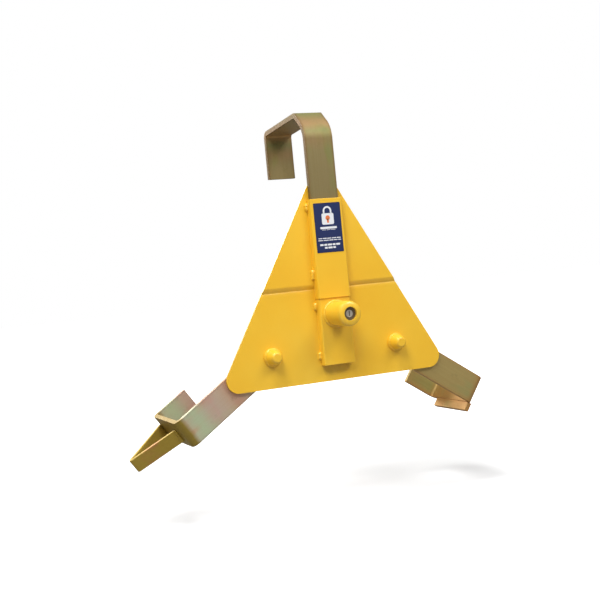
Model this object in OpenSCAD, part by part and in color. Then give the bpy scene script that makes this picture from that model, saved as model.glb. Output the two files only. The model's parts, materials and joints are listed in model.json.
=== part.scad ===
// Triangular wheel clamp: a yellow plate with a guide channel, a sliding top arm,
// two swinging lower arms and a round lock barrel whose bolt pins the top arm.
// X is to the right, Y runs into the wheel and Z is up. The origin is on the wheel's
// axis, at the front of the plate's upper half.

/* [Main plate] */
// Height of the plate's bottom edge, from the wheel's axis
plate_bottom = -128; // [-140:1:-122]
// Height of the plate's cut-off top
plate_top = 197; // [190:1:205]
// Half of the plate's width along the bottom, with its corners sharp
plate_half_bottom = 210; // [195:1:225]
// Half of the plate's width at the top
plate_half_top = 25.5; // [22:0.5:30]
// Radius of the two bottom corners
plate_corner_r = 21; // [10:1:30]
// Thickness of the plate
plate_t = 4; // [3:0.5:4]
// How far the lower half is pressed back from the upper half
joggle_depth = 3; // [2:0.5:3]
// Height of the pressed step's upper edge
joggle_top = 34; // [30:1:40]
// Height of the pressed step's lower edge
joggle_bottom = 24.5; // [15:0.5:28]

/* [Guide covers] */
// Top of the upper cover
cover_top = 173.4; // [165:0.1:180]
// Height at which the upper cover ends and the lower cover begins
cover_split = 9.5; // [9:0.5:12]
// Bottom of the lower cover
cover_bottom = -100.5; // [-110:0.5:-95]
// Half of the upper cover's width
upper_cover_half = 29; // [28.6:0.1:30]
// Half of the lower cover's width
lower_cover_half = 28.3; // [28.1:0.1:28.5]
// How far the upper cover stands out from the plate's upper half
upper_cover_front = 14; // [13:0.5:15]
// How far the lower cover stands out from the plate's upper half
lower_cover_front = 12; // [12:0.5:13]
// Sheet thickness of the upper cover
upper_sheet = 3; // [2:0.5:3]
// Sheet thickness of the lower cover
lower_sheet = 2.5; // [2:0.5:2.5]
// Radius of the folded edges of both covers
cover_fold_r = 3; // [1:0.5:4]

/* [Arms] */
// Width of the flat bar of all three arms
arm_w = 50; // [46:1:50]
// Thickness of the flat bar
arm_t = 8; // [6:1:8]
// Angle of the lower arms below horizontal
arm_drop = 34; // [25:1:45]
// Distance from a pivot to the outer face of a lower hook
hook_reach = 190; // [180:1:210]
// Depth of a lower hook's outer rear face
hook_back = 148; // [130:1:170]
// Length of a lower arm's rear leg
hook_leg = 70; // [40:1:90]
// Height of the top hook's upper corner
top_hook_z = 321.6; // [310:0.1:330]
// Depth of the top hook's outer rear face
top_hook_back = 172; // [150:1:190]
// Length of the top arm's rear leg
top_leg = 85; // [50:1:100]
// Lower end of the top arm
top_arm_end = -90; // [-95:1:-85]
// Bend radius of the hooks, at the bar's centre line
bend_r = 9; // [6:0.5:12]
// Bend radius where the top arm first leans back, at the bar's centre line
lean_r = 36; // [30:1:62]
// Bend radius at the front of the top hook, at the bar's centre line
top_front_r = 4.5; // [4.5:0.5:8]
// Spacing of the lock holes in the top arm
hole_pitch = 25; // [20:1:25]
// Radius of the lock holes
hole_r = 6; // [5.9:0.1:7]

/* [Feet] */
// Distance from the left pivot to the tip of the V-shaped foot
foot_reach = 275; // [240:1:290]
// Width of the foot's strap
foot_w = 24; // [20:1:28]
// Thickness of the foot's strap
foot_t = 7; // [5:0.5:8]
// Height of the short bar under the right hook
foot_bar_h = 16; // [10:1:20]

/* [Pivots] */
// Distance of each pivot from the middle
pivot_x = 113; // [105:1:120]
// Height of the pivots
pivot_z = -77; // [-82:1:-72]
// Radius of the pivot studs
stud_r = 8; // [6:0.5:8]
// Outer radius of the sleeves that the arms turn on
sleeve_r = 10; // [9.5:0.1:11]
// Radius of the washer under each cone nut
front_washer_r = 15.5; // [14:0.5:18]

/* [Lock] */
// Height of the lock's axis
lock_z = -17; // [-22:1:-17]
// Outer radius of the lock barrel
barrel_r = 20.5; // [20:0.5:22]
// How far the barrel stands out from the plate's upper half
barrel_front = 68; // [66:1:72]
// Radius of the barrel's open mouth, in front of the lock face
recess_r = 11; // [10:0.5:11]
// Depth of the barrel's open mouth
key_recess = 5; // [4:1:8]
// Radius of the barrel's bore behind the mouth's shoulder
barrel_bore_r = 12; // [11.5:0.1:12.5]
// Travel of the lock bolt over a quarter turn of the key
bolt_travel = 13; // [12:0.5:13]
// Radius of the bolt's nose
bolt_r = 5.5; // [4.5:0.1:5.6]

/* [Label] */
// Width of the label
label_w = 48; // [30:1:50]
// Bottom of the label
label_bottom = 84.5; // [70:0.5:110]
// Top of the label
label_top = 166; // [140:0.5:168]

/* [Hidden] */
$fn = 64;

paint = "gold";
zinc = "darkkhaki";
steel = "silver";
dark_steel = "dimgray";

// Bar and sheet positions through the depth, from front to back
slide_gap = 0.5;
top_arm_front = -slide_gap - arm_t;
lower_front = joggle_depth;
lower_back = joggle_depth + plate_t;
spacer_t = 1.2;
side_gap = 0.3;
lower_arm_front = lower_back + spacer_t + side_gap;
sleeve_len = arm_t + 2 * side_gap;
rear_washer_t = 1.6;
stud_head_y = lower_back + spacer_t + sleeve_len + rear_washer_t;
far = 400;

// The top arm's three bends, as [height, depth] of the bar's outer corners
lean_below = 29.8;
top_hook_front = 27.8;
top_hook_fall = 10.3;
top_first_corner = [top_hook_z - lean_below, top_arm_front];
top_second_corner = [top_hook_z, top_hook_front];
top_third_corner = [top_hook_z - top_hook_fall, top_hook_back];

// Stitch welds beside the covers, as [lowest, highest] point
upper_welds = [[154, 168], [41, 58]];
lower_welds = [[-10, 4], [-91, -78]];
weld_leg = 4;

// Radii of the lock train's pieces
lock_play = 0.3;
plug_r = 6;
cam_r = 7.7;
cup_wall_r = 8;
cup_r = barrel_bore_r - lock_play;
follower_r = 1.4;
pin_r = 1.5;
bush_r = 9;

// Depths of the lock train's pieces, worked out from the guide channel to the key's face
cup_floor_t = 2;
nose_tip = top_arm_front - slide_gap;
nose_root = -lower_cover_front - slide_gap - bolt_travel;
cup_floor = nose_root - cup_floor_t;
cam_end = cup_floor - lock_play;
follower_y = cam_end - bolt_travel - 2;
cam_start = follower_y - 3;
cup_rim = follower_y - 2.5;
guide_y = cup_rim + bolt_travel + pin_r + lock_play;
housing_front = -barrel_front + key_recess;
housing_len = cam_start - lock_play - housing_front;

// Distance and angle helpers for a bent strip's outline
function unit(v) = v / norm(v);
function left_of(d) = [-d[1], d[0]];
function spin(v, a) = [v[0] * cos(a) - v[1] * sin(a), v[0] * sin(a) + v[1] * cos(a)];
function turn_of(a, b) = atan2(a[0] * b[1] - a[1] * b[0], a * b);
function reversed(list) = [for (i = [len(list) - 1:-1:0]) list[i]];

// Point where two lines cross, each given by a point and a direction
function cross_at(p, d, q, e) =
    p + d * ((q - p)[0] * e[1] - (q - p)[1] * e[0]) / (d[0] * e[1] - d[1] * e[0]);

// Rounded corner of a strip's edge that lies off to the left of the centre line
function corner_arc(p, d, e, r, off) =
    let (turn = turn_of(d, e), way = sign(turn), start = p - d * r * tan(abs(turn) / 2))
    let (centre = start + left_of(d) * way * r, steps = max(3, ceil(abs(turn) / 6)))
    [for (k = [0:steps]) centre + left_of(spin(d, turn * k / steps)) * (off - way * r)];

// One edge of a strip whose centre line passes through the points, with a radius per bend
function strip_edge(points, radii, off) =
    let (n = len(points), ways = [for (i = [1:n - 1]) unit(points[i] - points[i - 1])])
    concat(
        [points[0] + left_of(ways[0]) * off],
        [for (i = [1:n - 2])
            each corner_arc(points[i], ways[i - 1], ways[i], radii[i - 1], off)],
        [points[n - 1] + left_of(ways[n - 2]) * off]
    );

// Centre line at half a thickness to the left of a strip's outer corners
function centre_line(corners, t) =
    let (n = len(corners), ways = [for (i = [1:n - 1]) unit(corners[i] - corners[i - 1])])
    concat(
        [corners[0] + left_of(ways[0]) * t / 2],
        [for (i = [1:n - 2]) cross_at(corners[i] + left_of(ways[i - 1]) * t / 2, ways[i - 1],
                                      corners[i] + left_of(ways[i]) * t / 2, ways[i])],
        [corners[n - 1] + left_of(ways[n - 2]) * t / 2]
    );

// Flat bar bent through outer corners given as [distance along, depth]
module bent_bar(corners, t, w, radii) {
    line = centre_line(corners, t);
    edges = [for (off = [t / 2, -t / 2]) strip_edge(line, radii, off)];
    linear_extrude(w, center = true) polygon(concat(edges[0], reversed(edges[1])));
}

// Turns the X axis to an angle in the XZ plane and leaves Y alone
module toward(angle) {
    rotate([0, -angle, 0]) children();
}

// Stands children up along Y on the lock's axis, from a given depth
module on_lock(y) {
    translate([0, y, lock_z]) rotate([-90, 0, 0]) children();
}

// Stands children up along Y on a pivot, from a given depth
module on_pivot(side, y) {
    translate([side * pivot_x, y, pivot_z]) rotate([-90, 0, 0]) children();
}

// Round bar or ring along Z
module ring(outer, inner, h) {
    difference() {
        cylinder(r = outer, h = h);
        if (inner > 0) translate([0, 0, -1]) cylinder(r = inner, h = h + 2);
    }
}

// Everything between the stepped front surface, set back by an offset, and a far depth
module behind_step(offset_y, back_upper, back_lower) {
    rotate([90, 0, 90]) linear_extrude(2 * far, center = true) polygon([
        [offset_y, far], [offset_y, joggle_top], [offset_y + joggle_depth, joggle_bottom],
        [offset_y + joggle_depth, -far], [back_lower, -far], [back_lower, joggle_bottom],
        [back_upper, joggle_top], [back_upper, far]
    ]);
}

// Outline of the plate with its two rounded bottom corners, as [x, z]
module plate_outline() {
    rise = plate_top - plate_bottom;
    corner = atan2(rise, plate_half_bottom - plate_half_top);
    cut = plate_corner_r / tan(corner / 2);
    side = [-cos(corner), sin(corner)];
    low_x = plate_half_bottom - cut;
    side_x = plate_half_bottom + side[0] * cut;
    side_z = plate_bottom + side[1] * cut;
    polygon([
        [-low_x, plate_bottom], [low_x, plate_bottom], [side_x, side_z],
        [plate_half_top, plate_top], [-plate_half_top, plate_top], [-side_x, side_z]
    ]);
    for (s = [-1, 1])
        translate([s * low_x, plate_bottom + plate_corner_r]) circle(r = plate_corner_r, $fn = 96);
}

module main_plate() {
    color(paint) difference() {
        intersection() {
            rotate([90, 0, 0]) linear_extrude(60, center = true) plate_outline();
            behind_step(0, plate_t, lower_back);
        }
        for (s = [-1, 1]) on_pivot(s, -10) cylinder(r = stud_r + 0.1, h = 30);
        on_lock(-10) cylinder(r = hole_r, h = 30);
    }
}

// Folded channel with rounded front edges, as [x, y], open at the back
module channel_profile(half, front, sheet) {
    difference() {
        union() {
            translate([-half, -front + cover_fold_r])
                square([2 * half, front - cover_fold_r + lower_front]);
            translate([-half + cover_fold_r, -front]) square([2 * (half - cover_fold_r), front]);
            for (s = [-1, 1]) translate([s * (half - cover_fold_r), -front + cover_fold_r])
                circle(r = cover_fold_r);
        }
        translate([-half + sheet, -front + sheet])
            square([2 * (half - sheet), front + lower_front]);
    }
}

module cover(half, front, sheet, low, high) {
    difference() {
        translate([0, 0, low]) linear_extrude(high - low) channel_profile(half, front, sheet);
        behind_step(0, 60, 60);
    }
}

module upper_cover() {
    color(paint) cover(upper_cover_half, upper_cover_front, upper_sheet, cover_split, cover_top);
}

module lower_cover() {
    color(paint) difference() {
        cover(lower_cover_half, lower_cover_front, lower_sheet, cover_bottom, cover_split);
        on_lock(-lower_cover_front - 1) cylinder(r = bush_r, h = lower_sheet + 2);
    }
}

// Fillet beads on one side of the guide channel
module cover_welds(side) {
    color(paint) for (group = [[upper_welds, upper_cover_half, 0],
                               [lower_welds, lower_cover_half, lower_front]])
        for (span = group[0])
            translate([side * group[1], group[2], span[0]])
                linear_extrude(span[1] - span[0])
                    polygon([[0, 0], [side * weld_leg, 0], [0, -weld_leg]]);
}

module label() {
    color("darkblue") translate([-label_w / 2, -upper_cover_front - 0.4, label_bottom])
        cube([label_w, 0.4, label_top - label_bottom]);
}

module lock_barrel() {
    length = barrel_front - lower_cover_front;
    color(paint) difference() {
        on_lock(-barrel_front) rotate_extrude($fn = 96) polygon([
            [recess_r, 0], [barrel_r - 5, 0], [barrel_r - 2, 1.5], [barrel_r - 0.5, 4],
            [barrel_r, 7], [barrel_r, length], [barrel_bore_r, length],
            [barrel_bore_r, key_recess], [recess_r, key_recess]
        ]);
        radial_pin(housing_front + housing_len / 2, 0, barrel_r + 1, pin_r + 0.05);
        radial_pin(guide_y, 0, barrel_r + 1, pin_r + 0.05);
    }
}

// Pin that points down from the lock's axis at a given depth
module radial_pin(y, from, to, r) {
    translate([0, y, lock_z - to]) cylinder(r = r, h = to - from, $fn = 32);
}

module barrel_weld() {
    color(paint) on_lock(-lower_cover_front) rotate_extrude($fn = 96)
        polygon([[barrel_r, 0], [barrel_r, -4], [barrel_r + 3.5, 0]]);
}

module lock_housing() {
    color(steel) difference() {
        on_lock(housing_front) ring(barrel_bore_r - 0.02, plug_r + 0.05, housing_len);
        radial_pin(housing_front + housing_len / 2, plug_r + 1.5, barrel_r, pin_r + 0.05);
    }
}

module housing_pin() {
    color(dark_steel) radial_pin(housing_front + housing_len / 2, plug_r + 1.6, barrel_r, pin_r);
}

module bolt_guide_pin() {
    color(dark_steel) radial_pin(guide_y, cup_r - 1.3, barrel_r, pin_r);
}

module bolt_bush() {
    color(dark_steel) on_lock(-lower_cover_front) ring(bush_r, bolt_r + lock_play, lower_sheet);
}

module lock_plug() {
    tail = 5;
    color(steel) difference() {
        union() {
            on_lock(housing_front) cylinder(r = plug_r, h = housing_len + lock_play);
            translate([-tail / 2, cam_start, lock_z - tail / 2]) cube([tail, tail, tail]);
        }
        translate([-0.8, housing_front - 1, lock_z - 4]) cube([1.6, 9, 8]);
    }
}

// Barrel cam: its groove turns a quarter turn of the key into the bolt's travel
module lock_cam() {
    tail = 5;
    lead_in = 2.2;
    groove_len = bolt_travel + 2 * lead_in;
    per_mm = 90 / bolt_travel;
    color(dark_steel) difference() {
        on_lock(cam_start) cylinder(r = cam_r, h = cam_end - cam_start);
        translate([-tail / 2, cam_start - 1, lock_z - tail / 2]) cube([tail, tail + 1, tail]);
        on_lock(follower_y - lead_in) rotate([0, 0, -90 + per_mm * lead_in])
            linear_extrude(groove_len, twist = per_mm * groove_len, slices = 24)
                translate([cam_r - 1.9, -2.3]) square([5, 4.6]);
    }
}

module lock_bolt() {
    chamfer = 1.2;
    slot = 2 * pin_r + 0.6;
    color(dark_steel) difference() {
        union() {
            on_lock(cup_rim) cylinder(r = cup_r, h = nose_root - cup_rim);
            on_lock(nose_root) cylinder(r = bolt_r, h = nose_tip - chamfer - nose_root);
            on_lock(nose_tip - chamfer) cylinder(r1 = bolt_r, r2 = bolt_r - chamfer, h = chamfer);
        }
        on_lock(cup_rim - 1) cylinder(r = cup_wall_r, h = cup_floor - cup_rim + 1);
        translate([-slot / 2, cup_rim - 1, lock_z - cup_r - 1])
            cube([slot, guide_y + pin_r + lock_play - cup_rim + 1, 2.6]);
        translate([0, follower_y, lock_z]) cylinder(r = follower_r, h = cup_r + 1, $fn = 32);
    }
}

module cam_follower() {
    color(steel) translate([0, follower_y, lock_z + cam_r - 1.6])
        cylinder(r = follower_r, h = cup_r - cam_r + 1.4, $fn = 32);
}

module top_arm() {
    holes = [for (k = [-2:2]) lock_z + k * hole_pitch];
    corners = [
        [top_arm_end, top_arm_front], top_first_corner, top_second_corner, top_third_corner,
        [top_third_corner[0] - top_leg, top_hook_back]
    ];
    color(zinc) difference() {
        toward(90) bent_bar(corners, arm_t, arm_w, [lean_r, top_front_r, bend_r]);
        for (z = holes) translate([0, -20, z]) rotate([-90, 0, 0]) cylinder(r = hole_r, h = 40);
    }
}

// Places children in a lower arm's own frame, with X along the arm
module on_arm(side) {
    translate([side * pivot_x, 0, pivot_z])
        toward(side > 0 ? -arm_drop : 180 + arm_drop) children();
}

module lower_arm(side) {
    half = arm_w / 2;
    corners = [
        [-half, lower_arm_front], [hook_reach, lower_arm_front],
        [hook_reach, hook_back], [hook_reach - hook_leg, hook_back]
    ];
    color(zinc) on_arm(side) difference() {
        bent_bar(corners, arm_t, arm_w, [bend_r, bend_r]);
        translate([0, lower_arm_front - 1, 0]) rotate([-90, 0, 0]) {
            cylinder(r = sleeve_r + 0.05, h = arm_t + 2);
            difference() {
                translate([-half - 1, -half - 1, 0]) cube([half + 1, arm_w + 2, arm_t + 2]);
                translate([0, 0, -1]) cylinder(r = half, h = arm_t + 4, $fn = 96);
            }
        }
    }
}

module lower_arm_left() {
    lower_arm(-1);
}

module lower_arm_right() {
    lower_arm(1);
}

// V-shaped ground foot: its roots and tip, as [distance along, depth] of the outer face
foot_side = -1;
foot_shift = 3;
foot_root_front = 42;
foot_root_back = 141;
foot_mid = (foot_root_front + foot_root_back) / 2;
foot_tip = [foot_reach + 6, foot_mid];
foot_slope = (foot_mid - foot_root_front) / (foot_tip[0] - hook_reach);

module foot_strap() {
    sunk = 4;
    corners = [
        [hook_reach - sunk, foot_root_front - sunk * foot_slope], foot_tip,
        [hook_reach - sunk, foot_root_back + sunk * foot_slope]
    ];
    color(zinc) on_arm(foot_side) difference() {
        translate([0, 0, foot_shift]) bent_bar(corners, foot_t, foot_w, [foot_t / 2 + 1]);
        translate([hook_reach - 20, 0, -far / 2]) cube([20, far, far]);
    }
}

// Fillet beads where both ends of the foot meet the hook
module foot_strap_welds() {
    leg = 6;
    rise = unit([1, foot_slope]) * leg;
    color(zinc) on_arm(foot_side) translate([0, 0, foot_shift])
        for (s = [-1, 1])
            translate([hook_reach, foot_mid + s * (foot_mid - foot_root_front), 0])
                linear_extrude(foot_w, center = true)
                    polygon([[0, 0], [0, s * leg], [rise[0], -s * rise[1]]]);
}

// Short flat bar along the lower edge of the right hook
foot_bar_front = 12;
foot_bar_len = 108;

module foot_bar() {
    color(zinc) on_arm(1)
        translate([hook_reach - arm_t, foot_bar_front, -arm_w / 2 - foot_bar_h])
            cube([arm_t, foot_bar_len, foot_bar_h]);
}

module foot_bar_weld() {
    bead = 1.2;
    inset = 11;
    color(zinc) on_arm(1) translate([hook_reach, foot_bar_front + inset, -arm_w / 2])
        rotate([-90, 0, 0]) linear_extrude(foot_bar_len - 2 * inset)
            polygon([[0, -3.5], [bead, -2], [bead, 2], [0, 3.5]]);
}

// Stud with a low round head behind the arm
module pivot_stud(side) {
    thread_y = -14;
    color(dark_steel) union() {
        on_pivot(side, thread_y) cylinder(r = stud_r - 0.02, h = stud_head_y - thread_y);
        on_pivot(side, stud_head_y) rotate_extrude()
            polygon([[0, 0], [12.5, 0], [12.5, 3.5], [10, 6.2], [6, 7.5], [0, 7.5]]);
    }
}

// Tapered nut that a wrench can't grip once its drive has sheared off
module cone_nut(side) {
    height = 19.5;
    color(paint) difference() {
        on_pivot(side, 0) mirror([0, 0, 1]) rotate_extrude() polygon([
            [0, 0], [13.2, 0], [13.2, 3], [12.2, 7.5], [10.8, 12.5], [9.3, 16.5],
            [8, 18.6], [6.5, height], [0, height]
        ]);
        on_pivot(side, -14.5) cylinder(r = stud_r, h = 20);
    }
}

module front_washer(side) {
    color(paint) on_pivot(side, 0) ring(front_washer_r, stud_r + 0.1, lower_front);
}

module spacer_washer(side) {
    color(steel) on_pivot(side, lower_back) ring(17, stud_r + 0.1, spacer_t);
}

module pivot_sleeve(side) {
    color(steel) on_pivot(side, lower_back + spacer_t) ring(sleeve_r, stud_r + 0.1, sleeve_len);
}

module rear_washer(side) {
    color(steel) on_pivot(side, stud_head_y - rear_washer_t)
        ring(16, stud_r + 0.1, rear_washer_t);
}

main_plate();
upper_cover();
lower_cover();
cover_welds(-1);  // cover_welds_left
cover_welds(1);  // cover_welds_right
label();
lock_barrel();
barrel_weld();
lock_housing();
housing_pin();
bolt_bush();
bolt_guide_pin();
lock_plug();
lock_cam();
lock_bolt();
cam_follower();
top_arm();
lower_arm_left();
foot_strap();
foot_strap_welds();
lower_arm_right();
foot_bar();
foot_bar_weld();
pivot_stud(-1);  // pivot_stud_left
pivot_stud(1);  // pivot_stud_right
cone_nut(-1);  // cone_nut_left
cone_nut(1);  // cone_nut_right
front_washer(-1);  // front_washer_left
front_washer(1);  // front_washer_right
spacer_washer(-1);  // spacer_washer_left
spacer_washer(1);  // spacer_washer_right
pivot_sleeve(-1);  // pivot_sleeve_left
pivot_sleeve(1);  // pivot_sleeve_right
rear_washer(-1);  // rear_washer_left
rear_washer(1);  // rear_washer_right
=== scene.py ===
"""Looks of the triangular wheel clamp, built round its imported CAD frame.

Metres, in the CAD frame: +X right, +Y into the wheel, +Z up, origin on the wheel's axis.
"""

import json
import math
import random

import bmesh
import bpy
from mathutils import Euler, Matrix, Vector, noise


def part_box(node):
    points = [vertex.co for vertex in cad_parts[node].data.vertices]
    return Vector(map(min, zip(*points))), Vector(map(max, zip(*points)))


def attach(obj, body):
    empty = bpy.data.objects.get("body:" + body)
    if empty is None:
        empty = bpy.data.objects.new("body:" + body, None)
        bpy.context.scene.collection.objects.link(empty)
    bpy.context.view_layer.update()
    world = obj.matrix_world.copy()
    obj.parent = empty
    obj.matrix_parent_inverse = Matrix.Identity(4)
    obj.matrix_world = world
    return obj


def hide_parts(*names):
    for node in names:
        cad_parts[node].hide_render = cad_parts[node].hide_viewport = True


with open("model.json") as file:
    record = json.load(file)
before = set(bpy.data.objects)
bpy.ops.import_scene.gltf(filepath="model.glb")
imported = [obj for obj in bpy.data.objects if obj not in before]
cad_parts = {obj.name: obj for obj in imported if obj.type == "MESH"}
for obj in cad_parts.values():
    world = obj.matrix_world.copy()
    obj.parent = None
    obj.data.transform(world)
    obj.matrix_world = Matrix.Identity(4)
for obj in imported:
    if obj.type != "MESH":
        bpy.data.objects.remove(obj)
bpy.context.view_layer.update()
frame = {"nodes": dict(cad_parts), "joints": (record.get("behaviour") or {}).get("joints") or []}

NODES = frame["nodes"]


# ---------------------------------------------------------------- places from the frame

hinge = next(joint for joint in frame["joints"] if joint["name"] == "right_arm_swing")
PIVOT_X, _, PIVOT_Z = hinge["pos_m"]
DROP = math.radians(34)  # how far both lower arms point down from level
ARM_HALF_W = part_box("top_arm")[1].x
ARM_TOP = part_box("top_arm")[1].z
HOOK_REACH = 0.190  # from a lower arm's pivot to the outer face of its hook

plate_low, plate_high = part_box("main_plate")
PLATE_BOTTOM, PLATE_TOP = plate_low.z, plate_high.z
PLATE_T = 0.004  # thickness of its sheet
JOGGLE = plate_high.y - PLATE_T  # how far the step sets the plate's lower half back

barrel_low, barrel_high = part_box("lock_barrel")
LOCK = (barrel_low + barrel_high) / 2
BARREL_R = (barrel_high.x - barrel_low.x) / 2


# ---------------------------------------------------------------- material helpers


class Shader:
    """A material's node tree with short ways to add and link nodes."""

    def __init__(self, name):
        self.material = bpy.data.materials.new(name)
        self.material.use_nodes = True
        self.tree = self.material.node_tree
        self.bsdf = self.tree.nodes["Principled BSDF"]
        self.coords = self.add("ShaderNodeTexCoord").outputs["Object"]

    def add(self, kind, **inputs):
        """Adds a node, with its inputs given by name."""
        node = self.tree.nodes.new(kind)
        for key, value in inputs.items():
            self.feed(node.inputs[key.replace("_", " ")], value)
        return node

    def feed(self, socket, value):
        """Links a socket to another one, or sets its constant."""
        if isinstance(value, bpy.types.NodeSocket):
            self.tree.links.new(value, socket)
        else:
            socket.default_value = value

    def set(self, **inputs):
        """Feeds the shader's own inputs, given by name."""
        for key, value in inputs.items():
            self.feed(self.bsdf.inputs[key.replace("_", " ")], value)

    def mapped(self, turn=(0, 0, 0), stretch=(1, 1, 1)):
        """Object coordinates, turned and then stretched."""
        turned = self.add("ShaderNodeMapping", Vector=self.coords, Rotation=turn)
        return self.add("ShaderNodeMapping", Vector=turned.outputs[0], Scale=stretch).outputs[0]

    def noise(self, vector, scale, detail=2.0, rough=0.5):
        node = self.add("ShaderNodeTexNoise", Vector=vector, Scale=scale, Detail=detail)
        node.inputs["Roughness"].default_value = rough
        return node.outputs["Fac"]

    def ramp(self, value, stops):
        """A colour from a list of (place, colour) stops."""
        node = self.add("ShaderNodeValToRGB", Fac=value)
        band = node.color_ramp
        while len(band.elements) < len(stops):
            band.elements.new(0.5)
        for element, (place, colour) in zip(band.elements, stops):
            element.position = place
            element.color = (*colour, 1.0)
        return node.outputs["Color"]

    def span(self, value, low, high):
        """A 0 to 1 value spread between low and high."""
        node = self.add("ShaderNodeMapRange", Value=value, To_Min=low, To_Max=high)
        return node.outputs["Result"]

    def band(self, value, low, high):
        """0 where value is at low or past it, 1 where it is at high or past it."""
        node = self.add("ShaderNodeMapRange", Value=value, From_Min=low, From_Max=high)
        return node.outputs["Result"]

    def mix(self, factor, first, second, blend="MIX"):
        """Blends two colours."""
        node = self.tree.nodes.new("ShaderNodeMix")
        node.data_type = "RGBA"
        node.blend_type = blend
        for socket, value in zip((0, 6, 7), (factor, first, second)):
            if isinstance(value, tuple):
                value = (*value, 1.0)
            self.feed(node.inputs[socket], value)
        return node.outputs[2]

    def maths(self, kind, *values):
        node = self.tree.nodes.new("ShaderNodeMath")
        node.operation = kind
        for socket, value in zip(node.inputs, values):
            self.feed(socket, value)
        return node.outputs[0]

    def vector_maths(self, kind, output, *values):
        node = self.tree.nodes.new("ShaderNodeVectorMath")
        node.operation = kind
        for socket, value in zip(node.inputs, values):
            self.feed(socket, value)
        return node.outputs[output]

    def bump(self, height, depth, strength=1.0, under=None):
        """A normal from a height of depth metres, on top of another normal."""
        node = self.add("ShaderNodeBump", Height=height, Distance=depth, Strength=strength)
        if under is not None:
            self.feed(node.inputs["Normal"], under)
        return node.outputs["Normal"]


def srgb(red, green, blue):
    """Linear colour of an 8-bit screen colour."""
    return tuple(
        (v / 255 / 12.92) if v / 255 <= 0.04045 else ((v / 255 + 0.055) / 1.055) ** 2.4
        for v in (red, green, blue)
    )


# ---------------------------------------------------------------- paint

PAINT = srgb(246, 193, 44)
PAINT_WARM = srgb(244, 187, 38)
PAINT_PALE = srgb(248, 200, 56)
PAINT_SPECK = srgb(214, 158, 30)


def paint_material():
    """Thick satin powder coat: orange peel, faint colour drift, smears and dark specks."""
    s = Shader("yellow_paint")
    drift = s.noise(s.mapped(), 7.0, 3.0)
    colour = s.ramp(drift, [(0.3, PAINT_WARM), (0.5, PAINT), (0.72, PAINT_PALE)])
    peel = s.noise(s.mapped(), 620.0, 2.0)
    swell = s.noise(s.mapped(), 150.0, 2.0)
    normal = s.bump(swell, 0.00016, 0.6)
    normal = s.bump(peel, 0.00007, 0.7, under=normal)
    smears = s.noise(s.mapped(stretch=(1, 1, 0.3)), 45.0, 4.0, 0.6)
    specks = s.band(s.noise(s.mapped(), 1500.0, 1.0), 0.74, 0.8)
    colour = s.mix(specks, colour, PAINT_SPECK)
    s.set(Base_Color=colour, Roughness=s.span(smears, 0.30, 0.44), Normal=normal)
    s.set(Coat_Weight=0.45, Coat_Roughness=0.26)
    return s.material


# ---------------------------------------------------------------- zinc plate

OLIVE = srgb(149, 144, 89)
MOSS = srgb(140, 142, 93)
TAN = srgb(155, 140, 97)
RUST = srgb(140, 104, 66)
COPPER = srgb(178, 130, 96)
# the next two colours are painted highlight on the top arm's bend
REED_HIGHLIGHT = srgb(176, 174, 120)
PEACH_HIGHLIGHT = srgb(212, 172, 126)
PINK = srgb(226, 186, 180)
ROSE = srgb(224, 188, 160)
MINT = srgb(208, 222, 192)
BLUSH = srgb(228, 176, 150)
PEWTER = srgb(216, 212, 192)
GOLD = srgb(200, 174, 74)
BRASS = srgb(176, 152, 66)
HONEY = srgb(200, 180, 118)
SAGE = srgb(184, 182, 120)
AMBER = srgb(206, 156, 92)
STREAK = srgb(140, 128, 92)
SPANGLE = srgb(170, 160, 130)
STAIN = srgb(124, 112, 66)

TONE_PLACES = (0.34, 0.46, 0.56, 0.68)  # where the four tones stand in the drift's range
EDGE_LINE = 0.0008  # how far outside the bar's edge the tinted band is centred
EDGE_HALF, EDGE_SOFT = 0.003, 0.0022  # half width and soft border of that band
UP = Vector((0, 0, 1))


def down_arm(side):
    """Direction along a lower arm, and the pivot's own distance along it."""
    way = Vector((side * math.cos(DROP), 0, -math.sin(DROP)))
    return way, way.dot(Vector((side * PIVOT_X, 0, PIVOT_Z)))


def zones_along(way, start, bands):
    """Zones across a bar that runs in the direction way, at distances from start."""
    return [(way, start + place, *rest) for place, *rest in bands]


def edge_zones(way, pivot_x, tint, share):
    """Zones along both edges of a bar that runs in the direction way."""
    across = way.cross(Vector((0, 1, 0)))
    middle = across.dot(Vector((pivot_x, 0, PIVOT_Z)))
    return [(across, middle + s * (ARM_HALF_W + EDGE_LINE), EDGE_HALF, EDGE_SOFT, tint, share)
            for s in (-1, 1)]


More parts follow.
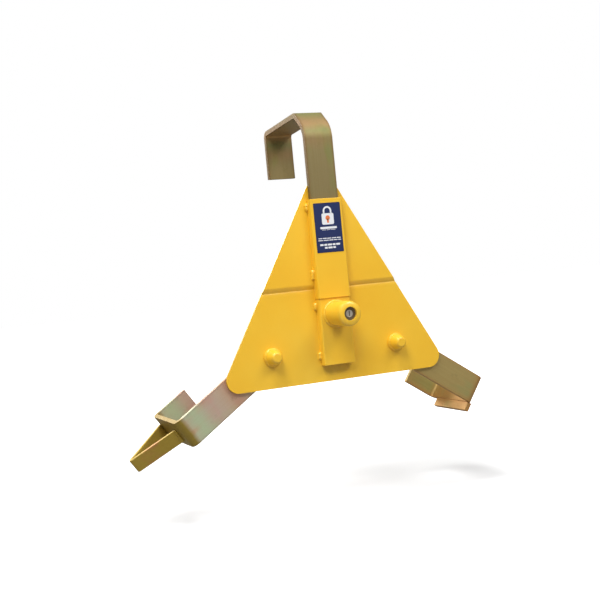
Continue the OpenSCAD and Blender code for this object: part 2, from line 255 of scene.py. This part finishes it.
def zinc_material(name, tilt, tones, zones=()):
    """Yellow-passivated zinc on flat bar, with a sheen that drifts in colour along the bar.

    tilt turns the bar's length onto the X axis. Each zone is (direction, place, half, soft,
    tint, share): a band centred at place along the direction, half wide to each side, with a
    soft border, in metres, that takes a share of the tint.
    """
    s = Shader(name)
    drift = s.noise(s.mapped(turn=(0, tilt, 0), stretch=(0.3, 1.0, 1.0)), 24.0, 3.0, 0.55)
    colour = s.ramp(drift, list(zip(TONE_PLACES, tones)))
    for direction, place, half, soft, tint, share in zones:
        along = s.vector_maths("DOT_PRODUCT", "Value", s.coords, direction)
        wander = s.maths("MULTIPLY_ADD", drift, soft, along)
        away = s.maths("ABSOLUTE", s.maths("SUBTRACT", wander, place + soft / 2))
        inside = s.band(away, half + soft, half - soft)
        colour = s.mix(s.maths("MULTIPLY", inside, share), colour, tint)
    streaks = s.noise(s.mapped(turn=(0, tilt, 0), stretch=(0.03, 1.0, 1.0)), 330.0, 4.0, 0.6)
    colour = s.mix(s.span(streaks, 0.0, 0.45), colour, STREAK, "OVERLAY")
    spangle = s.noise(s.mapped(), 700.0, 3.0)
    colour = s.mix(s.span(spangle, 0.0, 0.3), colour, SPANGLE, "MULTIPLY")
    stains = s.band(s.noise(s.mapped(), 46.0, 5.0, 0.65), 0.60, 0.74)
    colour = s.mix(s.maths("MULTIPLY", stains, 0.3), colour, STAIN)
    normal = s.bump(streaks, 0.00005, 0.4)
    normal = s.bump(s.noise(s.mapped(), 420.0, 3.0), 0.00007, 0.5, under=normal)
    s.set(Base_Color=colour, Metallic=0.60, Normal=normal)
    s.set(Roughness=s.span(s.noise(s.mapped(), 30.0, 3.0), 0.46, 0.62))
    return s.material


# ---------------------------------------------------------------- steel and film


def steel_material(name, light, dark, rough, metal=1.0):
    """Machined or hardened steel with fine turning marks."""
    s = Shader(name)
    haze = s.noise(s.mapped(), 140.0, 3.0)
    grain = s.noise(s.mapped(stretch=(1, 0.08, 1)), 2200.0, 2.0)
    colour = s.mix(haze, dark, light)
    s.set(Base_Color=colour, Metallic=metal, Roughness=s.span(grain, rough, rough + 0.14))
    s.set(Normal=s.bump(grain, 0.00001, 0.4))
    return s.material


def film_material(name, colour, worn):
    """Printed vinyl film with a faint texture and slight fading."""
    s = Shader(name)
    fade = s.noise(s.mapped(), 60.0, 3.0)
    grain = s.noise(s.mapped(), 2400.0, 2.0)
    s.set(Base_Color=s.mix(s.span(fade, 0.0, 0.35), colour, worn), Roughness=0.38)
    s.set(Normal=s.bump(grain, 0.00001, 0.4), Coat_Weight=0.3, Coat_Roughness=0.25)
    return s.material


# ---------------------------------------------------------------- the materials

LEFT, LEFT_START = down_arm(-1)
RIGHT, RIGHT_START = down_arm(1)

paint = paint_material()
zinc_top = zinc_material(
    "zinc_top", math.radians(90), (MOSS, OLIVE, TAN, TAN),
    # bands down from the top of the hook: painted highlight on the bend that leans up toward the
    # lights, pale at the top and pink and coppery lower down, laid over the zinc's own tint
    zones_along(UP, ARM_TOP, [
        (-0.0034, 0.006, 0.004, REED_HIGHLIGHT, 0.4),
        (-0.0194, 0.009, 0.006, PEACH_HIGHLIGHT, 0.6),
        (-0.0354, 0.004, 0.006, MOSS, 0.6),
        (-0.0514, 0.008, 0.008, COPPER, 0.3),
    ]) + edge_zones(UP, 0, RUST, 0.6))
zinc_left = zinc_material(
    "zinc_left", DROP, (MINT, PEWTER, PEWTER, ROSE),
    zones_along(LEFT, LEFT_START, [
        (0.086, 0.018, 0.014, BLUSH, 0.7),
        (0.125, 0.014, 0.014, PINK, 0.6),
        (0.158, 0.012, 0.010, MINT, 0.8),
        (0.227, 0.050, 0.004, BRASS, 1.0),
    ]) + edge_zones(LEFT, -PIVOT_X, RUST, 0.3))
zinc_right = zinc_material(
    "zinc_right", -DROP, (SAGE, HONEY, HONEY, HONEY),
    zones_along(RIGHT, RIGHT_START, [(0.197, 0.018, 0.008, AMBER, 1.0)])
    + edge_zones(RIGHT, PIVOT_X, AMBER, 0.6))
zinc_gold = zinc_material("zinc_gold", DROP, (GOLD, GOLD, GOLD, AMBER))

bright = steel_material("bright_steel", srgb(190, 192, 196), srgb(140, 142, 148), 0.22)
dark = steel_material("dark_steel", srgb(104, 104, 108), srgb(64, 64, 68), 0.34)
plug_steel = steel_material("plug_steel", srgb(226, 222, 212), srgb(168, 162, 152), 0.24, 0.5)
housing_steel = steel_material("housing_steel", srgb(136, 124, 104), srgb(92, 82, 70), 0.32, 0.6)

film = film_material("label_blue", srgb(20, 32, 72), srgb(32, 44, 86))
film_light = film_material("label_blue_light", srgb(24, 40, 88), srgb(34, 50, 98))
ink = film_material("label_white", srgb(236, 238, 240), srgb(214, 218, 226))
ink_orange = film_material("label_orange", srgb(236, 128, 70), srgb(226, 120, 70))


# ---------------------------------------------------------------- CAD nodes that stay

SAME_PLACE = 1e-6  # points of a CAD mesh this close are one point
FLAT_ANGLE = 0.5  # degrees between facets that count as one flat face


def round_edges(obj, width, crisp=32):
    """Rounds every edge that turns by more than crisp degrees."""
    bevel = obj.modifiers.new("round", "BEVEL")
    bevel.width = width
    bevel.segments = 3
    bevel.limit_method = "ANGLE"
    bevel.angle_limit = math.radians(crisp)
    bevel.miter_outer = "MITER_ARC"
    bevel.harden_normals = True


def coat(name, material, width, crisp=32):
    """Gives a CAD node its material, joins its faces and rounds its sharp edges."""
    node = NODES[name]
    node.data.materials.clear()
    node.data.materials.append(material)
    for shading in ("custom_normal", "sharp_edge", "sharp_face"):
        if shading in node.data.attributes:
            node.data.attributes.remove(node.data.attributes[shading])
    node.modifiers.new("join", "WELD").merge_threshold = SAME_PLACE
    flats = node.modifiers.new("flats", "DECIMATE")
    flats.decimate_type = "DISSOLVE"
    flats.angle_limit = math.radians(FLAT_ANGLE)
    round_edges(node, width, crisp)


def both(*stems):
    """Names of the nodes that each lower arm has one of."""
    return [f"{stem}_{side}" for stem in stems for side in ("left", "right")]


# width of the rounded edges, material, nodes
COATS = (
    (0.0007, paint, ["upper_cover", "lower_cover"]),
    (0.0008, paint, ["lock_barrel"]),
    (0.0006, paint, both("front_washer")),
    (0.0009, zinc_top, ["top_arm"]),
    (0.0009, zinc_left, ["lower_arm_left"]),
    (0.0009, zinc_right, ["lower_arm_right", "foot_bar"]),
    (0.0009, zinc_gold, ["foot_strap"]),
    (0.0002, plug_steel, ["lock_plug"]),
    (0.0002, housing_steel, ["lock_housing"]),
    (0.0002, bright, ["cam_follower"] + both("spacer_washer", "pivot_sleeve", "rear_washer")),
    (0.0002, dark, ["housing_pin", "bolt_bush", "bolt_guide_pin", "lock_cam", "lock_bolt"]),
    (0.0004, dark, both("pivot_stud")),
)
for width, material, names in COATS:
    for name in names:
        coat(name, material, width)
# the nuts' cones have blunter edges, which are rounded too
for name in both("cone_nut"):
    coat(name, paint, 0.0005, crisp=12)


# ---------------------------------------------------------------- mesh helpers


def new_piece(name, bm, material, body, replaced=()):
    """Turns a bmesh into a piece that rides on a CAD body."""
    mesh = bpy.data.meshes.new(name)
    bmesh.ops.recalc_face_normals(bm, faces=bm.faces)
    bm.to_mesh(mesh)
    bm.free()
    mesh.materials.append(material)
    mesh.shade_smooth()
    piece = bpy.data.objects.new(name, mesh)
    bpy.context.collection.objects.link(piece)
    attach(piece, body)
    if replaced:
        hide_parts(*replaced)
    return piece


def drill(obj, centre, radius, length):
    """Bores a hole along Y through a piece's mesh."""
    bm = bmesh.new()
    turn = Matrix.Rotation(math.pi / 2, 4, "X")
    bmesh.ops.create_cone(
        bm, cap_ends=True, segments=48, radius1=radius, radius2=radius, depth=length,
        matrix=Matrix.Translation(centre) @ turn)
    mesh = bpy.data.meshes.new("drill")
    bm.to_mesh(mesh)
    bm.free()
    cutter = bpy.data.objects.new("drill", mesh)
    bpy.context.collection.objects.link(cutter)
    cut = obj.modifiers.new("hole", "BOOLEAN")
    cut.object = cutter
    cut.solver = "EXACT"
    bpy.context.view_layer.update()
    evaluated = obj.evaluated_get(bpy.context.evaluated_depsgraph_get())
    bored = bpy.data.meshes.new_from_object(evaluated)
    obj.modifiers.remove(cut)
    obj.data = bored
    bpy.data.objects.remove(cutter)


# ---------------------------------------------------------------- plate

CORNER_R = 0.021
CORNER_TURN = range(0, 100, 5)  # degrees round a lower corner, with a row at each
HALF_TOP = 0.0255
HALF_BOTTOM_SHARP = 0.210  # where the sides would meet the bottom edge, with no rounding
STEP_TOP, STEP_BOTTOM = 0.0345, 0.0262
STEP_POWER = 1.5  # over 1 makes the step start softly
CREASE, CREASE_WIDTH = 0.0007, 0.0018  # groove along the step's foot, its depth and width
ROW, STEP_ROW = 0.005, 0.0006  # spacing of the mesh's rows, and round the step
FINE_LOW, FINE_HIGH = STEP_BOTTOM - 0.004, STEP_TOP + 0.002  # where the finer rows are
LAST_ROW = 0.002  # least height of the topmost row
COLUMNS = 40
PLATE_EDGE = 0.0008
BOLT_HOLE_R = 0.006
DRILL_LENGTH = 0.03


def plate_half_width(z):
    """Half of the plate's width at a height, with its rounded bottom corners."""
    rise, run = PLATE_TOP - PLATE_BOTTOM, HALF_BOTTOM_SHARP - HALF_TOP
    cut = CORNER_R / math.tan(math.atan2(rise, run) / 2)
    side_z = PLATE_BOTTOM + cut * rise / math.hypot(rise, run)
    if z >= side_z:
        return HALF_BOTTOM_SHARP - (z - PLATE_BOTTOM) * run / rise
    drop = z - PLATE_BOTTOM - CORNER_R
    return HALF_BOTTOM_SHARP - cut + math.sqrt(max(0.0, CORNER_R**2 - drop**2))


def plate_front(z):
    """Depth of the front face: the step starts softly above and ends in a crease below."""
    fall = min(1.0, max(0.0, (STEP_TOP - z) / (STEP_TOP - STEP_BOTTOM)))
    rise = min(1.0, max(0.0, (STEP_BOTTOM - z) / CREASE_WIDTH))
    return (JOGGLE + CREASE) * fall**STEP_POWER - CREASE * rise


def plate_heights():
    """Heights of the mesh's rows: round the lower corners, then up to the top edge."""
    heights = [PLATE_BOTTOM + CORNER_R * (1 - math.cos(math.radians(a))) for a in CORNER_TURN]
    z = heights[-1] + ROW
    while z < PLATE_TOP - LAST_ROW:
        heights.append(z)
        z += STEP_ROW if FINE_LOW < z < FINE_HIGH else ROW
    return heights + [PLATE_TOP]


def make_plate():
    """Plate with its pressed step: a front and a back grid, joined round the rim."""
    heights = plate_heights()
    bm = bmesh.new()
    grids = []
    for depth in (0.0, PLATE_T):
        grid = []
        for z in heights:
            half, y = plate_half_width(z), plate_front(z) + depth
            grid.append([
                bm.verts.new((half * (2 * c / COLUMNS - 1), y, z)) for c in range(COLUMNS + 1)])
        for low, high in zip(grid, grid[1:]):
            for c in range(COLUMNS):
                bm.faces.new((low[c], low[c + 1], high[c + 1], high[c]))
        grids.append(grid)
    front, back = grids
    last = len(heights) - 1
    rim = [(r, 0) for r in range(last + 1)]
    rim += [(last, c) for c in range(1, COLUMNS + 1)]
    rim += [(r, COLUMNS) for r in range(last - 1, -1, -1)]
    rim += [(0, c) for c in range(COLUMNS - 1, 0, -1)]
    for (r, c), (q, d) in zip(rim, rim[1:] + rim[:1]):
        bm.faces.new((front[r][c], front[q][d], back[q][d], back[r][c]))
    plate = new_piece("plate", bm, paint, "clamp_body", ["main_plate"])
    drill(plate, Vector((LOCK.x, plate_high.y / 2, LOCK.z)), BOLT_HOLE_R, DRILL_LENGTH)
    round_edges(plate, PLATE_EDGE, crisp=50)


make_plate()


# ---------------------------------------------------------------- weld beads

BEAD_SIDES = 14
BEAD_STEP = 0.0004  # spacing of a bead's rings
RIPPLE_PITCH = 0.0016
RIPPLE_BOW = 0.0012  # how far the ripples bow along the bead
# shares of the radius: how much the ripples rise, the flanks give way and the lumps rise
RIPPLE_RISE, FLANK_CUT, LUMP_RISE = 0.10, 0.10, 0.14
RIPPLE_POWER = 1.6  # over 1 gives each ripple a hollow back and a crisp edge
LUMP_SCALE = 260  # lumps per metre
BLUNT_END = 0.04  # keeps a bead's end ring from shrinking to a point


def add_bead(bm, points, outs, radius, closed=False, seed=0.0):
    """One weld bead: a rippled, slightly lumpy tube whose crown points along outs."""
    travelled, total = 0.0, sum((b - a).length for a, b in zip(points, points[1:]))
    rings = []
    for i, (point, out) in enumerate(zip(points, outs)):
        if i:
            travelled += (point - points[i - 1]).length
        ahead = points[(i + 1) % len(points)] if closed or i + 1 < len(points) else point
        behind = points[i - 1] if closed or i else point
        side = (ahead - behind).normalized().cross(out)
        near_end = min(1.0, min(travelled, total - travelled) / radius + BLUNT_END)
        swell = 1.0 if closed else math.sqrt(1 - (1 - near_end) ** 2)
        swell *= 1 + LUMP_RISE * noise.noise(point * LUMP_SCALE + Vector((seed, 0, 0)))
        ring = []
        for k in range(BEAD_SIDES):
            angle = 2 * math.pi * k / BEAD_SIDES
            step = (travelled + RIPPLE_BOW * math.cos(angle)) / RIPPLE_PITCH
            scale = 1 + RIPPLE_RISE * (step - math.floor(step)) ** RIPPLE_POWER
            scale *= 1 - FLANK_CUT * math.sin(angle) ** 2
            reach = radius * swell * scale
            ring.append(bm.verts.new(
                point + out * (reach * math.cos(angle)) + side * (reach * math.sin(angle))))
        rings.append(ring)
    pairs = list(zip(rings, rings[1:])) + ([(rings[-1], rings[0])] if closed else [])
    for first, second in pairs:
        for k in range(BEAD_SIDES):
            m = (k + 1) % BEAD_SIDES
            bm.faces.new((first[k], first[m], second[m], second[k]))
    if not closed:
        bm.faces.new(rings[0])
        bm.faces.new(reversed(rings[-1]))


def straight_bead(bm, start, end, out, radius, seed=0.0):
    """Bead along a straight corner, with its crown towards out."""
    start, end, out = Vector(start), Vector(end), Vector(out).normalized()
    steps = max(6, int((end - start).length / BEAD_STEP))
    points = [start.lerp(end, i / steps) for i in range(steps + 1)]
    add_bead(bm, points, [out] * len(points), radius, seed=seed)


def round_bead(bm, centre, ring_r, radius, seed=0.0):
    """Bead round a cylinder that stands out of the plate along -Y."""
    steps = int(2 * math.pi * ring_r / BEAD_STEP)
    points, outs = [], []
    for i in range(steps):
        angle = 2 * math.pi * i / steps
        outward = Vector((math.cos(angle), 0, math.sin(angle)))
        points.append(Vector(centre) + outward * ring_r)
        outs.append((outward + Vector((0, -1, 0))).normalized())
    add_bead(bm, points, outs, radius, closed=True, seed=seed)


def arm_point(side, along, y, across):
    """Point of a lower arm, from its distance from the pivot, depth and offset across the bar."""
    turn = -DROP if side > 0 else math.pi + DROP
    return Vector((
        side * PIVOT_X + along * math.cos(turn) - across * math.sin(turn), y,
        PIVOT_Z + along * math.sin(turn) + across * math.cos(turn)))


def arm_way(side, along, y, across):
    """Direction in a lower arm's own terms."""
    return arm_point(side, along, y, across) - arm_point(side, 0, 0, 0)


# ---------------------------------------------------------------- the welds

# depth of the plate's face, half the cover's width, lowest and highest points of each stitch
STITCHES = (
    (0.0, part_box("upper_cover")[1].x, ((0.154, 0.168), (0.041, 0.058))),
    (JOGGLE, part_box("lower_cover")[1].x, ((-0.010, 0.004), (-0.091, -0.078))),
)
# radius of each bead, and how far its middle lies off the corner that it fills
STITCH_R, STITCH_OUT = 0.0042, 0.0006
BARREL_BEAD_R, BARREL_BEAD_OUT, BARREL_BEAD_LIFT = 0.0026, 0.0003, 0.0005
STRAP_BEAD_R, STRAP_BEAD_OUT, STRAP_BEAD_IN = 0.0036, 0.0012, 0.001
BAR_BEAD_R, BAR_BEAD_IN = 0.0026, 0.0012
# radius of the bead round a nut, and of the ring that it runs in
NUT_BEAD_R, NUT_RING_R = 0.0020, 0.0130
# half of the strap's width, and how far its middle is off the arm's middle
STRAP_HALF_W, STRAP_SHIFT = 0.012, 0.003
# how the lumps of a bead follow from its place, so that no two beads are alike
STITCH_SEEDS, STRAP_SEEDS = 90, 60

for side, side_name in ((-1, "left"), (1, "right")):
    bm = bmesh.new()
    for face_y, half, spans in STITCHES:
        x, y = side * (half + STITCH_OUT), face_y - STITCH_OUT
        for low, high in spans:
            straight_bead(
                bm, (x, y, low), (x, y, high), (side, -1, 0), STITCH_R, seed=low * STITCH_SEEDS)
    new_piece(f"cover_beads_{side_name}", bm, paint, "clamp_body",
              [f"cover_welds_{side_name}"])

bm = bmesh.new()
barrel_root = (LOCK.x, barrel_high.y - BARREL_BEAD_LIFT, LOCK.z)
round_bead(bm, barrel_root, BARREL_R + BARREL_BEAD_OUT, BARREL_BEAD_R, seed=3.0)
new_piece("barrel_bead", bm, paint, "clamp_body", ["barrel_weld"])

for side, side_name in ((-1, "left"), (1, "right")):
    bm = bmesh.new()
    round_bead(bm, (side * PIVOT_X, 0.0, PIVOT_Z), NUT_RING_R, NUT_BEAD_R, seed=7.0 + side)
    new_piece(f"nut_bead_{side_name}", bm, paint, "clamp_body")

# the two ends of the V-shaped strap, along the outer face of the left hook
strap_low, strap_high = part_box("foot_strap")
bm = bmesh.new()
for root, lean in ((strap_low.y, -1), (strap_high.y, 1)):
    start, end = (
        arm_point(-1, HOOK_REACH + STRAP_BEAD_OUT, root - lean * STRAP_BEAD_IN,
                  STRAP_SHIFT + s * (STRAP_HALF_W - STRAP_BEAD_IN))
        for s in (-1, 1))
    straight_bead(
        bm, start, end, arm_way(-1, 1, lean, 0), STRAP_BEAD_R, seed=root * STRAP_SEEDS)
new_piece("foot_strap_beads", bm, zinc_gold, "left_arm", ["foot_strap_welds"])

# the small bar, along the lower edge of the right hook
weld_low, weld_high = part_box("foot_bar_weld")
bm = bmesh.new()
start, end = (
    arm_point(1, HOOK_REACH - BAR_BEAD_IN, y, -ARM_HALF_W) for y in (weld_low.y, weld_high.y))
straight_bead(bm, start, end, arm_way(1, 1, 0, 0), BAR_BEAD_R, seed=5.0)
new_piece("foot_bar_bead", bm, zinc_right, "right_arm", ["foot_bar_weld"])


# ---------------------------------------------------------------- label

label_low, label_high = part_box("label")
LABEL_W, LABEL_H = label_high.x - label_low.x, label_high.z - label_low.z
LABEL_CORNER = 0.0012
BORDER, BORDER_CORNER = 0.0011, 0.0008
INK_LAYER = 0.00003  # how far each printed layer stands out of the one below


def flat_shape(name, outline, back, front, material, replaced=()):
    """Flat plate with an outline of (x, z) points, from depth back to depth front."""
    bm = bmesh.new()
    rings = [[bm.verts.new((x, y, z)) for x, z in outline] for y in (back, front)]
    bm.faces.new(rings[0])
    bm.faces.new(reversed(rings[1]))
    count = len(outline)
    for k in range(count):
        m = (k + 1) % count
        bm.faces.new((rings[0][m], rings[0][k], rings[1][k], rings[1][m]))
    piece = new_piece(name, bm, material, "clamp_body", replaced)
    piece.data.shade_flat()


def printed(name, outline, layer, material):
    """Printed shape on the label, in the given layer of ink."""
    flat_shape(name, outline, label_low.y, label_low.y - layer * INK_LAYER, material)


def round_rect(x, z, w, h, r):
    """Rounded rectangle about a centre, in metres."""
    points = []
    for quarter, (sx, sz) in enumerate(((1, 1), (-1, 1), (-1, -1), (1, -1))):
        for k in range(9):
            a = math.pi / 2 * (quarter + k / 8)
            points.append((
                x + sx * (w / 2 - r) + r * math.cos(a), z + sz * (h / 2 - r) + r * math.sin(a)))
    return points


def arch(x, z, outer, inner, leg):
    """Shackle: a half ring with two straight legs down."""
    half = [(math.cos(math.pi * k / 20), math.sin(math.pi * k / 20)) for k in range(21)]
    outline = [(x + outer, z - leg)] + [(x + outer * c, z + outer * s) for c, s in half]
    outline += [(x - outer, z - leg), (x - inner, z - leg)]
    outline += [(x - inner * c, z + inner * s) for c, s in half]
    return outline + [(x + inner, z - leg)]


def from_top(share):
    """Height on the label, as a share of its height down from its top."""
    return label_high.z - LABEL_H * share


middle = from_top(0.5)
flat_shape("label_film", round_rect(0, middle, LABEL_W, LABEL_H, LABEL_CORNER),
           label_high.y, label_low.y, film, ["label"])
printed("label_border", round_rect(0, middle, LABEL_W - 2 * BORDER, LABEL_H - 2 * BORDER,
                                   BORDER_CORNER), 1, film_light)

# a plain padlock
printed("label_lock_body", round_rect(0, from_top(0.325), 0.0215, 0.0185, 0.0024), 2, ink)
printed("label_lock_shackle", arch(0, from_top(0.165), 0.0078, 0.0049, 0.0045), 2, ink)
printed("label_lock_eye", round_rect(0, from_top(0.305), 0.0080, 0.0080, 0.00398), 3, ink_orange)
printed("label_lock_slot", round_rect(0, from_top(0.365), 0.0034, 0.0066, 0.0008), 3, ink_orange)

# plain bars, the thin ones broken into uneven dashes: place down the label, width, height
BARS = (
    (0.505, 0.030, 0.0036), (0.545, 0.024, 0.0008), (0.715, 0.040, 0.0014),
    (0.755, 0.041, 0.0014), (0.845, 0.036, 0.0030), (0.905, 0.020, 0.0030),
)
DASH, DASH_GAP = 0.0075, 0.0011
SOLID_HEIGHT = 0.0032  # bars from this height up are whole
for index, (share, width, height) in enumerate(BARS):
    pieces = max(1, round(width / DASH)) if height < SOLID_HEIGHT else 1
    random.seed(index + 3)
    cuts = [random.uniform(0.7, 1.3) for _ in range(pieces)]
    unit = (width - DASH_GAP * (pieces - 1)) / sum(cuts)
    x = -width / 2
    for k, cut in enumerate(cuts):
        span = unit * cut
        outline = round_rect(x + span / 2, from_top(share), span, height, height * 0.3)
        printed(f"label_bar_{index}_{k}", outline, 2, ink)
        x += span + DASH_GAP


# ---------------------------------------------------------------- floor

FLOOR_HALF = 14.0
FLOOR_GAP = 0.002  # below the swinging foot
FLOOR_SEEN, FLOOR_BOUNCE = 0.93, 0.30  # how pale it looks, and how pale it is to bounced light
FADE_START, FADE_END = 0.45, 1.5  # distances from the origin between which it turns white


def floor_material():
    """Pale floor that runs out into the white background and bounces little light back up.

    From below it is clear, so that it doesn't hide the object.
    """
    s = Shader("floor")
    seen = s.add("ShaderNodeLightPath").outputs["Is Camera Ray"]
    s.set(Base_Color=s.mix(seen, (FLOOR_BOUNCE,) * 3, (FLOOR_SEEN,) * 3), Roughness=0.9)
    s.set(Specular_IOR_Level=0.0, Emission_Color=(1.0, 1.0, 1.0, 1.0))
    away = s.vector_maths("LENGTH", "Value", s.coords)
    rim = s.add("ShaderNodeMapRange", Value=away, From_Min=FADE_START, From_Max=FADE_END)
    rim.interpolation_type = "SMOOTHSTEP"
    s.set(Emission_Strength=s.maths("MULTIPLY", rim.outputs["Result"], seen))
    under = s.tree.nodes.new("ShaderNodeNewGeometry").outputs["Backfacing"]
    clear = s.add("ShaderNodeBsdfTransparent").outputs[0]
    blend = s.add("ShaderNodeMixShader", Fac=s.maths("MULTIPLY", under, seen))
    s.feed(blend.inputs[1], s.bsdf.outputs[0])
    s.feed(blend.inputs[2], clear)
    s.feed(s.tree.nodes["Material Output"].inputs["Surface"], blend.outputs[0])
    return s.material


# it lies just under the lowest place that the swinging foot can reach
foot_reach = max(
    math.hypot(v.co.x + PIVOT_X, v.co.z - PIVOT_Z) for v in NODES["foot_strap"].data.vertices)
floor_z = PIVOT_Z - foot_reach - FLOOR_GAP
corners = [(x * FLOOR_HALF, y * FLOOR_HALF, floor_z)
           for x, y in ((-1, -1), (1, -1), (1, 1), (-1, 1))]
floor_mesh = bpy.data.meshes.new("floor")
floor_mesh.from_pydata(corners, [], [(0, 1, 2, 3)])
floor_mesh.materials.append(floor_material())
floor = bpy.data.objects.new("floor", floor_mesh)
bpy.context.collection.objects.link(floor)


# ---------------------------------------------------------------- light

ROOM_LIGHT = 0.27  # how brightly the white room lights the object


def area_light(name, place, size, power):
    """Soft box that points at the wheel's axis."""
    data = bpy.data.lights.new(name, "AREA")
    data.shape = "RECTANGLE"
    data.size, data.size_y = size
    data.energy = power
    light = bpy.data.objects.new(name, data)
    light.location = place
    light.rotation_mode = "QUATERNION"
    light.rotation_quaternion = (-Vector(place)).to_track_quat("-Z", "Y")
    bpy.context.collection.objects.link(light)


area_light("softbox_left", (-1.1, -1.5, 1.7), (1.1, 0.7), 26)
area_light("softbox_right", (1.0, -1.5, 1.6), (1.1, 0.7), 24)
area_light("top_light", (-0.7, -0.45, 2.0), (0.9, 0.5), 32)
area_light("back_fill", (-0.7, 2.3, 1.2), (1.4, 1.0), 34)

# the room lights the object dimly, and shows as pure white behind it
world = bpy.data.worlds.new("studio")
bpy.context.scene.world = world
world.use_nodes = True
room = world.node_tree.nodes["Background"]
room.inputs["Color"].default_value = (1, 1, 1, 1)
seen = world.node_tree.nodes.new("ShaderNodeLightPath").outputs["Is Camera Ray"]
glow = world.node_tree.nodes.new("ShaderNodeMapRange")
glow.inputs["To Min"].default_value = ROOM_LIGHT
glow.inputs["To Max"].default_value = 1.0
world.node_tree.links.new(seen, glow.inputs["Value"])
world.node_tree.links.new(glow.outputs["Result"], room.inputs["Strength"])


# ---------------------------------------------------------------- camera

CAMERA_PLACE = Vector((-0.7200, -1.5863, 0.0566))
CAMERA_TURN = (88.48, 5.46, -22.83)  # degrees about X, Y and Z
LENS, SENSOR = 63.02, 36.0  # millimetres
NEAR, FAR = 0.05, 60.0

camera_data = bpy.data.cameras.new("camera")
camera_data.lens = LENS
camera_data.sensor_width = SENSOR
camera_data.clip_start = NEAR
camera_data.clip_end = FAR
camera = bpy.data.objects.new("camera", camera_data)
camera_turn = Euler([math.radians(angle) for angle in CAMERA_TURN])
camera.matrix_world = Matrix.Translation(CAMERA_PLACE) @ camera_turn.to_matrix().to_4x4()
bpy.context.collection.objects.link(camera)
bpy.context.scene.camera = camera
bpy.context.scene.view_settings.view_transform = "Standard"
